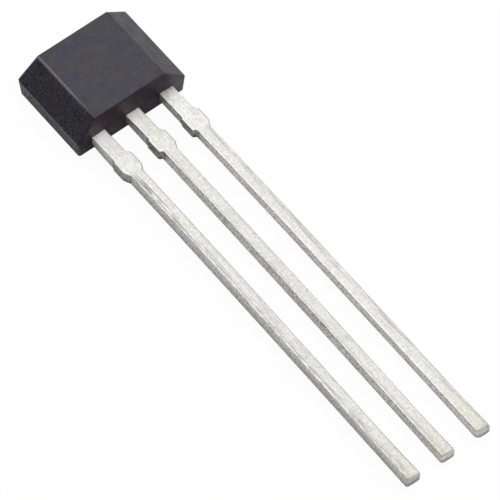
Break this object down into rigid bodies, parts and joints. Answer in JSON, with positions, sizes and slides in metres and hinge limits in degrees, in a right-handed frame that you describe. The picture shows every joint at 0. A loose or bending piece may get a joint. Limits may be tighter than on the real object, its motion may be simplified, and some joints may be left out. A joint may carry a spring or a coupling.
{
  "type": "hall effect sensor",
  "caption": "Flat moulded Hall effect sensor with chamfered sides and long straight leads for soldering into a board.",
  "frame": {"origin": "middle of the back face of the moulded case", "axes": "+Z out of the sensing face, -Y along the leads towards their tips, +X across the leads from the supply lead to the output lead"},
  "size_m": [0.004, 0.0181, 0.0014],
  "materials": {
    "epoxy_resin": "satin moulded black epoxy with a fine spark-eroded grain",
    "tin_plated_copper": "matte tin plate over a stamped copper alloy",
    "adhesive": "cured die attach adhesive",
    "silicon": "polished silicon",
    "gold_wire": "drawn gold"
  },
  "bodies": {
    "root": {"moulded_case": "epoxy_resin", "supply_lead": "tin_plated_copper", "ground_lead": "tin_plated_copper", "output_lead": "tin_plated_copper", "die_attach": "adhesive", "sensor_die": "silicon", "supply_bond_wire": "gold_wire", "ground_bond_wire": "gold_wire", "output_bond_wire": "gold_wire"}
  },
  "joints": []
}
